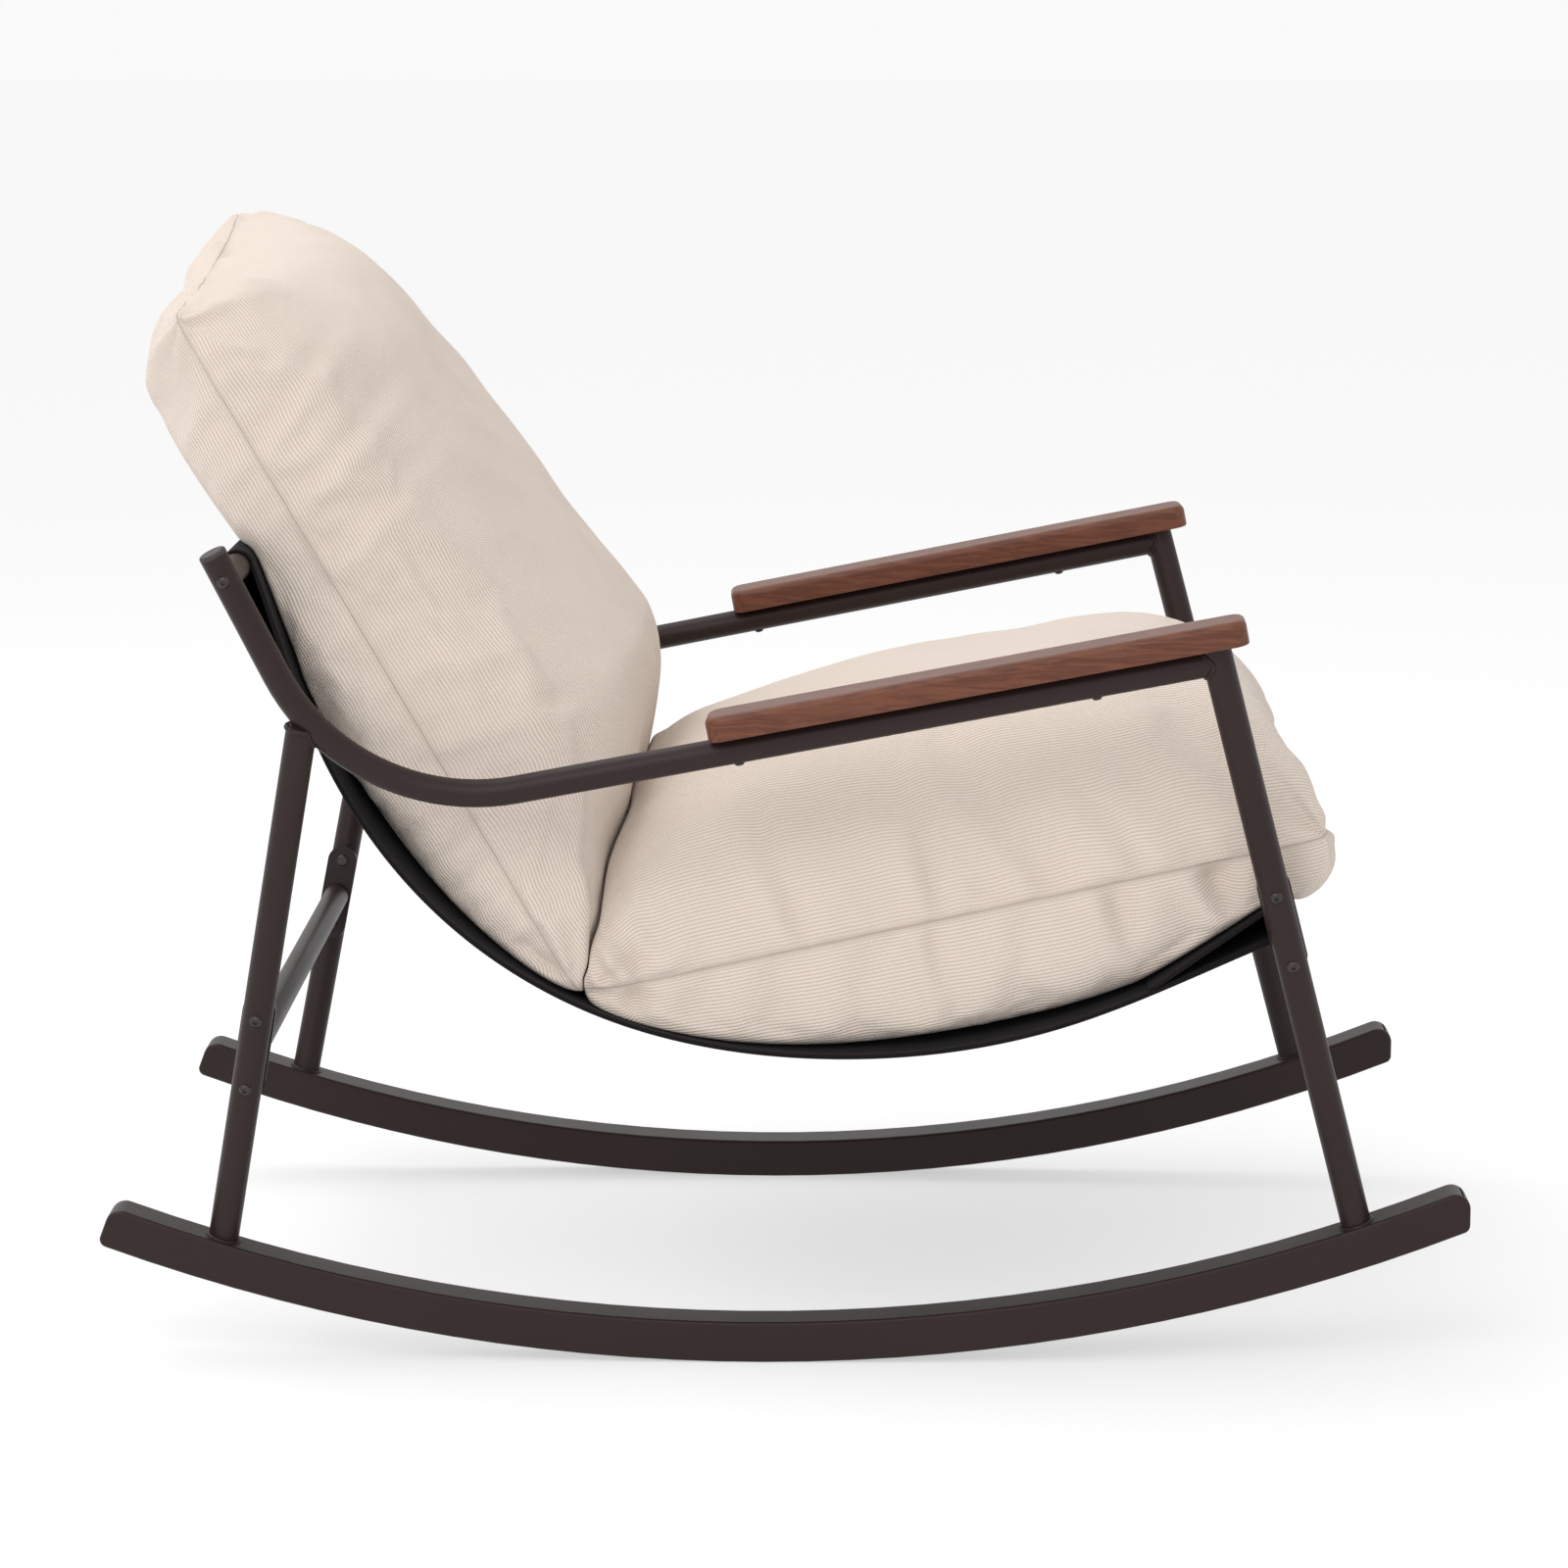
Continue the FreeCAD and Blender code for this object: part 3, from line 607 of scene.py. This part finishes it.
def bed_height(x, clear):
    """The height of the sling's upper side at x, with the sleeves over its two rails."""
    top = main_line + main_normal * (CLOTH_T / 2 + clear)
    ridge_r = LOOP_R + CLOTH_T / 2 + clear
    height = np.interp(x, top[:, 0], top[:, 1], left=-1.0, right=-1.0)
    flap = line[:-24:-1] + np.array([0.0, CLOTH_T / 2 + clear])
    height = np.maximum(height, np.interp(x, flap[:, 0], flap[:, 1], left=-1.0, right=-1.0))
    for rail in (TOP_RAIL, FRONT_RAIL):
        inside = np.maximum(ridge_r**2 - (x - rail[0]) ** 2, 0.0)
        height = np.maximum(height, np.where(inside > 0, rail[1] + np.sqrt(inside), -1.0))
    return np.where(x < TOP_RAIL[0], TOP_RAIL[1] + ridge_r + 1.3 * (TOP_RAIL[0] - x), height)


def even_steps(profile, first, last, count):
    """Values between first and last that are equal steps apart along the cloth's profile."""
    fine = first + (last - first) * (0.5 - 0.5 * np.cos(np.linspace(0, np.pi, 4000)))
    steps = np.linalg.norm(np.diff(np.stack(profile(fine)), axis=1), axis=0)
    along = np.insert(np.cumsum(steps), 0, 0.0)
    return np.interp(np.linspace(0.0, along[-1], count), along, fine)


def laid_on(height, bed):
    """The height, or the bed's where that is higher, rounded where the two are near."""
    near = np.maximum(BED_ROUND - abs(height - bed), 0.0)
    return np.maximum(height, bed) + near**2 / (4 * BED_ROUND)


def panels(seam, rise, fall, lengthen):
    """The two panels of a pillow about its seam line in the side view, as grids of points.
    Height over the line is rise(t, v), under it fall(t, v); t runs along it, v across."""
    a, b = np.array(seam)
    reach = np.hypot(*(b - a))
    along = (b - a) / reach
    up = np.array([-along[1], along[0]]) * np.sign(along[0])
    t = even_steps(lambda t: (t * reach, rise(t, 0.0), fall(t, 0.0)), 0.0, 1.0, ROWS)[:, None]
    v = even_steps(lambda v: (v * CUSHION_W / 2, rise(0.5, v), fall(0.5, v)), -1.0, 1.0, COLUMNS)[None, :]
    grids = []
    for height in (rise(t, v), -fall(t, v)):
        corner = (2 * t - 1) ** 16 * v**16
        drawn = 1 - 0.016 * (1 - (2 * t - 1) ** 4) - 0.030 * corner
        place = t * (reach + lengthen * v) - (0.010 * (1 - v**4) + 0.008 * corner) * (2 * t - 1)
        grid = np.empty((ROWS, COLUMNS, 3))
        grid[..., 0] = a[0] + along[0] * place + up[0] * height
        grid[..., 2] = a[1] + along[1] * place + up[1] * height
        grid[..., 1] = v * CUSHION_W / 2 * drawn
        grids.append(grid)
    return grids


def arc_lengths(grid):
    """Distances along the cloth, across the panel and along it, each from its own seam."""
    found = []
    for axis in (1, 0):
        steps = np.linalg.norm(np.diff(grid, axis=axis), axis=2)
        found.append(np.insert(np.cumsum(steps, axis=axis), 0, 0.0, axis=axis))
    return found


def waves(place, seed, spacing, count=7):
    """Uneven soft waves from about -1 to 1: a sum of sines whose lengths differ."""
    rng = np.random.default_rng(seed)
    parts = zip(rng.uniform(0.6, 2.2, count), rng.uniform(0, 2 * np.pi, count))
    return sum(np.sin(2 * np.pi * place / (spacing * f) + p) for f, p in parts) / np.sqrt(2 * count)


def swell(grid, seed, length):
    """Slow rise and fall of the stuffing under the cloth, as sines in every direction."""
    rng = np.random.default_rng(seed)
    total = np.zeros(grid.shape[:2])
    for _ in range(14):
        direction = rng.normal(size=3)
        direction /= np.linalg.norm(direction) * length * rng.uniform(0.6, 1.8)
        total += np.sin(2 * np.pi * grid @ direction + rng.uniform(0, 2 * np.pi))
    return total / np.sqrt(14)


def stuffed(grid, seed, calm, corner_pull, tucks):
    """The panel with the seam's puckers, the corners' radiating folds and slow swellings.
    A tuck is its share of the way along the cloth, its width, its reach and its depth."""
    across, along = arc_lengths(grid)
    width, height = across[:, -1:], along[-1:, :]
    from_side = np.minimum(across, width - across)
    from_end = np.minimum(along, height - along)
    near_side = (across < width / 2) * 40.0
    near_end = (along < height / 2) * 60.0
    fold = 0.0028 * np.exp(-from_side / 0.050) * waves(along + near_side, seed, 0.036)
    fold += 0.0048 * np.exp(-from_side / 0.120) * waves(along + near_side, seed + 1, 0.095)
    fold += 0.0020 * np.exp(-from_end / 0.045) * waves(across + near_end, seed + 2, 0.036)
    fold += 0.0036 * np.exp(-from_end / 0.110) * waves(across + near_end, seed + 3, 0.090)
    radius = np.hypot(from_side, from_end)
    angle = np.arctan2(from_end, from_side + 1e-6)
    fan = np.sin(9 * angle + near_side + near_end) + 0.6 * np.sin(15 * angle + 2 * near_side)
    fold += corner_pull * fan * (radius / 0.05) * np.exp(-radius / 0.05)
    fold += 0.0030 * swell(grid, seed + 4, 0.22) + 0.0006 * swell(grid, seed + 5, 0.060)
    for place, width, reach, depth in tucks:
        off = (along / along[-1:] - place - 0.04 * (across > across[:, -1:] / 2)) * along[-1:].max() / width
        fold -= 2.6 * depth * off * np.exp(-(off**2) / 2 - (from_side / reach) ** 2)
    seam = 1 - np.exp(-np.minimum(from_side, from_end) / 0.004)
    normal = np.cross(np.gradient(grid, axis=0), np.gradient(grid, axis=1))
    normal /= np.maximum(np.linalg.norm(normal, axis=2), 1e-9)[..., None]
    outward = np.sign(np.sum(normal * (grid - grid.mean(axis=(0, 1))), axis=2).sum())
    return grid + normal * (outward * fold * seam * calm)[..., None]


def inflated(made, held):
    """Lets the cover settle as cloth: a little too large for the filling that presses it out,
    and held where held is 1, along its seam and where it lies against something."""
    group = made.vertex_groups.new(name="held")
    for weight in np.unique(held):
        group.add(np.flatnonzero(held == weight).tolist(), float(weight), "REPLACE")
    cloth = made.modifiers.new("cloth", "CLOTH")
    cloth.settings.vertex_group_mass = "held"
    cloth.settings.quality = 6
    cloth.settings.mass = 0.25
    cloth.settings.tension_stiffness = 30.0
    cloth.settings.compression_stiffness = 30.0
    cloth.settings.shear_stiffness = 8.0
    cloth.settings.bending_stiffness = 0.35
    cloth.settings.shrink_min = -0.016
    cloth.settings.use_pressure = True
    cloth.settings.uniform_pressure_force = 6.0
    cloth.settings.effector_weights.gravity = 0.0
    for number in range(1, 17):
        bpy.context.scene.frame_set(number)
    settled = made.evaluated_get(bpy.context.evaluated_depsgraph_get()).data
    before, after = np.empty(len(made.data.vertices) * 3), np.empty(len(made.data.vertices) * 3)
    made.data.vertices.foreach_get("co", before)
    settled.vertices.foreach_get("co", after)
    move = (after - before).reshape(-1, 3)
    far = np.linalg.norm(move, axis=1, keepdims=True)
    move *= SETTLE_LIMIT * np.tanh(far / SETTLE_LIMIT) / np.maximum(far, 1e-9)
    made.modifiers.remove(cloth)
    made.vertex_groups.remove(group)
    made.data.vertices.foreach_set("co", before + move.ravel())
    bpy.context.scene.frame_set(1)


def cushion(name, sheets, calms):
    """One closed skin of the two panels, which share their border, with the cloth's own UV."""
    grid_index = np.arange(ROWS * COLUMNS).reshape(ROWS, COLUMNS)
    under = grid_index.copy()
    inner = (ROWS - 2) * (COLUMNS - 2)
    under[1:-1, 1:-1] = ROWS * COLUMNS + np.arange(inner).reshape(ROWS - 2, COLUMNS - 2)
    top, low = sheets
    points = np.vstack([top.reshape(-1, 3), low[1:-1, 1:-1].reshape(-1, 3)])
    faces, uvs = [], []
    for index, sheet, way_round in ((grid_index, top, 1), (under, low, -1)):
        across, along = arc_lengths(sheet)
        mid_r, mid_c = ROWS // 2, COLUMNS // 2
        u = across / np.maximum(across[:, -1:], 1e-6) * across[mid_r, -1]
        w = along / np.maximum(along[-1:], 1e-6) * along[-1, mid_c]
        edge = np.minimum(np.minimum(across, across[:, -1:] - across), np.minimum(along, along[-1:] - along))
        cloth = np.stack([u, w, edge], axis=-1)
        faces.append(np.stack(cell_corners(index)[::way_round], axis=-1).reshape(-1, 4))
        uvs.append(np.stack(cell_corners(cloth)[::way_round], axis=-2).reshape(-1, 3))
    faces, cloth = np.vstack(faces), np.vstack(uvs)
    mesh = bpy.data.meshes.new(name)
    mesh.from_pydata(points, [], faces.tolist())
    mesh.uv_layers.new(name="cloth").data.foreach_set("uv", cloth[:, :2].astype(np.float32).ravel())
    away = mesh.attributes.new("from_seam", "FLOAT", "CORNER")
    away.data.foreach_set("value", cloth[:, 2].astype(np.float32))
    mesh.polygons.foreach_set("use_smooth", np.ones(len(faces), dtype=bool))
    mesh.materials.append(linen.material)
    made = bpy.data.objects.new(name, mesh)
    bpy.context.collection.objects.link(made)
    held = np.concatenate([1 - calms[0].ravel(), 1 - calms[1][1:-1, 1:-1].ravel()])
    border = np.zeros((ROWS, COLUMNS), dtype=bool)
    border[[0, -1]], border[:, [0, -1]] = True, True
    held[np.flatnonzero(border)] = 1.0
    inflated(made, np.round(held, 1))
    finer = made.modifiers.new("finer cloth", "SUBSURF")
    finer.levels = finer.render_levels = 1
    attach(made, "root")
    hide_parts(name)
    return made


linen = Paint(
    "ribbed_linen",
    (0.680, 0.585, 0.525),
    0.92,
    Sheen_Weight=0.20,
    Sheen_Roughness=0.45,
    Specular_IOR_Level=0.2,
)
across, along = linen.fabric_uv()
from_seam = linen.node("ShaderNodeAttribute", {"attribute_name": "from_seam"}, out="Fac")
wander = linen.noise(linen.place(), 22.0, 2.0)
rib_place = across / RIB + wander * 0.5
ridge = (rib_place * math.pi).sin().abs()
knot = ((along / 0.0021 + rib_place.floor() * 0.5) * (2 * math.pi)).sin() * 0.5 + 0.5
fibre = linen.noise(linen.place(), 850.0, 3.0, 0.7)
blotch = linen.noise(linen.place(), 7.0, 4.0)
weave = ridge * (0.60 + knot * 0.40)
groove = (1.0 - from_seam / 0.0012).clamped()
stitch = (1.0 - (from_seam - 0.0034).abs() / 0.0008).clamped() * (along / 0.0042).fract().above(0.4)
# Painted shade: the cloth's colour darkens where the weave lies low, in the grooves between the ribs and
# between their knots.
tone = linen.mix((1.0 - weave) * 0.70, (0.840, 0.745, 0.665), (0.470, 0.365, 0.285))
tone = linen.mix((fibre - 0.5).clamped() * 0.8, tone, (0.820, 0.760, 0.705))
tone = linen.mix((blotch - 0.42).clamped() * 0.45, tone, (0.680, 0.575, 0.505))
# Painted shade: the cloth darkens in the seam's groove, within 1.2 mm of the seam; the row of stitches
# beside it is darkened a little too.
tone = linen.mix((groove * 0.65 + stitch * 0.20).clamped(), tone, (0.340, 0.265, 0.215))
linen.wear(
    Base_Color=tone,
    Roughness=0.86 + fibre * 0.12,
    Normal=linen.bump(weave + fibre * 0.3 - groove - stitch * 0.6, 0.0008, 0.8),
)

# Tucks of the front and rear panel of the back cushion, and the upper and lower of the seat.
back_tucks = (
    ((0.64, 0.010, 0.10, 0.003), (0.72, 0.009, 0.12, 0.0035), (0.81, 0.010, 0.09, 0.003)),
    (),
)
seat_tucks = (
    (
        (0.03, 0.006, 0.11, 0.004),
        (0.07, 0.007, 0.09, 0.004),
        (0.29, 0.011, 0.09, 0.003),
        (0.47, 0.010, 0.06, 0.003),
    ),
    (
        (0.06, 0.008, 0.06, 0.004),
        (0.46, 0.008, 0.05, 0.004),
        (0.70, 0.009, 0.05, 0.004),
        (0.83, 0.011, 0.07, 0.006),
    ),
)

back_sheets, back_calm = [], []
for k, sheet in enumerate(panels(BACK_SEAM, back_rise, back_fall, BACK_SLUMP)):
    bed = bed_height(sheet[..., 0], BED_GAP)
    gap = np.maximum(sheet[..., 2] - bed, 0.0)
    sheet[..., 2] = laid_on(sheet[..., 2], bed)
    back_calm.append(np.clip(gap / LOOSE_FROM, 0.0, 1.0))
    back_sheets.append(stuffed(sheet, 11 + 20 * k, back_calm[k], 0.0045, back_tucks[k]))
back = cushion("back_cushion", back_sheets, back_calm)
back_face = np.empty(len(back.data.vertices) * 3)
back.data.vertices.foreach_get("co", back_face)
back_face = back_face[: ROWS * COLUMNS * 3].reshape(ROWS, COLUMNS, 3)

seat_sheets, seat_calm = [], []
for k, sheet in enumerate(panels(SEAT_SEAM, seat_rise, seat_fall, 0.0)):
    face = np.empty(sheet.shape[:2])
    for j in range(COLUMNS):
        line_z, line_x = back_face[:, j, 2], back_face[:, j, 0]
        rising = np.argsort(line_z)
        face[:, j] = np.interp(sheet[:, j, 2], line_z[rising], line_x[rising])
    free = sheet[..., 0] - face - CUSHION_GAP
    sheet[..., 0] = np.maximum(sheet[..., 0], face + CUSHION_GAP)
    bed = bed_height(sheet[..., 0], BED_GAP)
    gap = np.minimum(np.maximum(sheet[..., 2] - bed, 0.0), np.maximum(free, 0.0))
    sheet[..., 2] = laid_on(sheet[..., 2], bed)
    seat_calm.append(np.clip(gap / LOOSE_FROM, 0.0, 1.0))
    seat_sheets.append(stuffed(sheet, 71 + 20 * k, seat_calm[k], 0.0050, seat_tucks[k]))
cushion("seat_cushion", seat_sheets, seat_calm)
